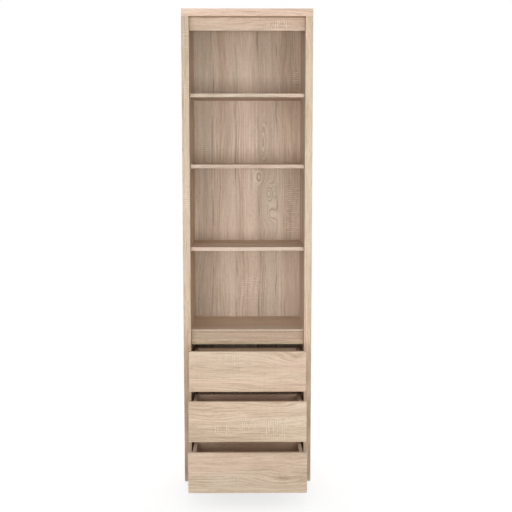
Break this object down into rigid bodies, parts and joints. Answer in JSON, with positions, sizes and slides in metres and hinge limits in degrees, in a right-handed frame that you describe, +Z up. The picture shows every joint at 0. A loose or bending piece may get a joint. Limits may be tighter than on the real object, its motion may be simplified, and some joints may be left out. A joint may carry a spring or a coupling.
{
  "type": "bookcase",
  "caption": "Tall narrow open bookcase with loose shelves on pins over handle-less drawers that run on telescopic slides.",
  "frame": {"origin": "on the floor, under the middle of the whole object with its drawers as the picture shows them", "axes": "+X to the right seen from the front, the front faces -Y, +Z up"},
  "size_m": [0.53, 0.619, 1.958],
  "materials": {
    "oak_upright": "matt pale oak laminate, grain upright, saw marks across it",
    "oak_top": "matt pale oak laminate, grain across",
    "oak_rail": "matt pale oak laminate, grain across",
    "oak_shelf": "matt pale oak laminate, grain across",
    "oak_front": "matt pale oak laminate, grain across, saw marks",
    "oak_back": "printed oak hardboard, grain upright, brown behind",
    "drawer_laminate": "matt oak foil on chipboard",
    "drawer_board": "thin lacquered hardboard",
    "cam_zinc": "die-cast zinc",
    "bolt_steel": "zinc-plated steel",
    "screw_steel": "zinc-plated steel",
    "nail_steel": "bright steel",
    "slide_steel": "rolled zinc-plated steel",
    "zinc_plate": "zinc-plated pressed steel",
    "pin_nickel": "nickel-plated steel",
    "dowel_beech": "plain beech",
    "glide_plastic": "dark brown moulded plastic"
  },
  "bodies": {
    "carcass": {"left_side_panel": "oak_upright", "right_side_panel": "oak_upright", "top_panel": "oak_top", "header_rail": "oak_rail", "front_rail": "oak_rail", "drawer_bay_stretcher": "oak_rail", "plinth_board": "oak_rail", "bottom_panel": "oak_shelf", "fixed_shelf": "oak_shelf", "upper_shelf": "oak_shelf", "middle_shelf": "oak_shelf", "lower_shelf": "oak_shelf", "back_panel": "oak_back", "wall_bracket": "zinc_plate", "floor_glides": "glide_plastic", "shelf_pins": "pin_nickel", "carcass_cam_locks": "cam_zinc", "carcass_cam_bolts": "bolt_steel", "carcass_dowels": "dowel_beech", "carcass_screws": "screw_steel", "back_panel_nails": "nail_steel", "upper_drawer_outer_channels": "slide_steel", "middle_drawer_outer_channels": "slide_steel", "lower_drawer_outer_channels": "slide_steel"},
    "upper_drawer": {"upper_drawer_front": "oak_front", "upper_drawer_left_side": "drawer_laminate", "upper_drawer_right_side": "drawer_laminate", "upper_drawer_back": "drawer_laminate", "upper_drawer_bottom": "drawer_board", "upper_drawer_cam_locks": "cam_zinc", "upper_drawer_cam_bolts": "bolt_steel", "upper_drawer_box_screws": "screw_steel", "upper_drawer_slide_screws": "screw_steel", "upper_drawer_inner_channels": "slide_steel"},
    "upper_drawer_slide_stage": {"upper_drawer_middle_channels": "slide_steel"},
    "middle_drawer": {"middle_drawer_front": "oak_front", "middle_drawer_left_side": "drawer_laminate", "middle_drawer_right_side": "drawer_laminate", "middle_drawer_back": "drawer_laminate", "middle_drawer_bottom": "drawer_board", "middle_drawer_cam_locks": "cam_zinc", "middle_drawer_cam_bolts": "bolt_steel", "middle_drawer_box_screws": "screw_steel", "middle_drawer_slide_screws": "screw_steel", "middle_drawer_inner_channels": "slide_steel"},
    "middle_drawer_slide_stage": {"middle_drawer_middle_channels": "slide_steel"},
    "lower_drawer": {"lower_drawer_front": "oak_front", "lower_drawer_left_side": "drawer_laminate", "lower_drawer_right_side": "drawer_laminate", "lower_drawer_back": "drawer_laminate", "lower_drawer_bottom": "drawer_board", "lower_drawer_cam_locks": "cam_zinc", "lower_drawer_cam_bolts": "bolt_steel", "lower_drawer_box_screws": "screw_steel", "lower_drawer_slide_screws": "screw_steel", "lower_drawer_inner_channels": "slide_steel"},
    "lower_drawer_slide_stage": {"lower_drawer_middle_channels": "slide_steel"}
  },
  "joints": [
    {"name": "upper_drawer_slide", "type": "slide", "parent": "carcass", "child": "upper_drawer", "axis": [0, -1, 0], "range_m": [-0.179, 0.111]},
    {"name": "upper_drawer_stage_slide", "type": "slide", "parent": "carcass", "child": "upper_drawer_slide_stage", "axis": [0, -1, 0], "range_m": [-0.0895, 0.0555]},
    {"name": "middle_drawer_slide", "type": "slide", "parent": "carcass", "child": "middle_drawer", "axis": [0, -1, 0], "range_m": [-0.223, 0.067]},
    {"name": "middle_drawer_stage_slide", "type": "slide", "parent": "carcass", "child": "middle_drawer_slide_stage", "axis": [0, -1, 0], "range_m": [-0.1115, 0.0335]},
    {"name": "lower_drawer_slide", "type": "slide", "parent": "carcass", "child": "lower_drawer", "axis": [0, -1, 0], "range_m": [-0.269, 0.021]},
    {"name": "lower_drawer_stage_slide", "type": "slide", "parent": "carcass", "child": "lower_drawer_slide_stage", "axis": [0, -1, 0], "range_m": [-0.1345, 0.0105]}
  ],
  "couplings": [
    {"joint": "upper_drawer_stage_slide", "follows": "upper_drawer_slide", "ratio": 0.5},
    {"joint": "middle_drawer_stage_slide", "follows": "middle_drawer_slide", "ratio": 0.5},
    {"joint": "lower_drawer_stage_slide", "follows": "lower_drawer_slide", "ratio": 0.5}
  ]
}
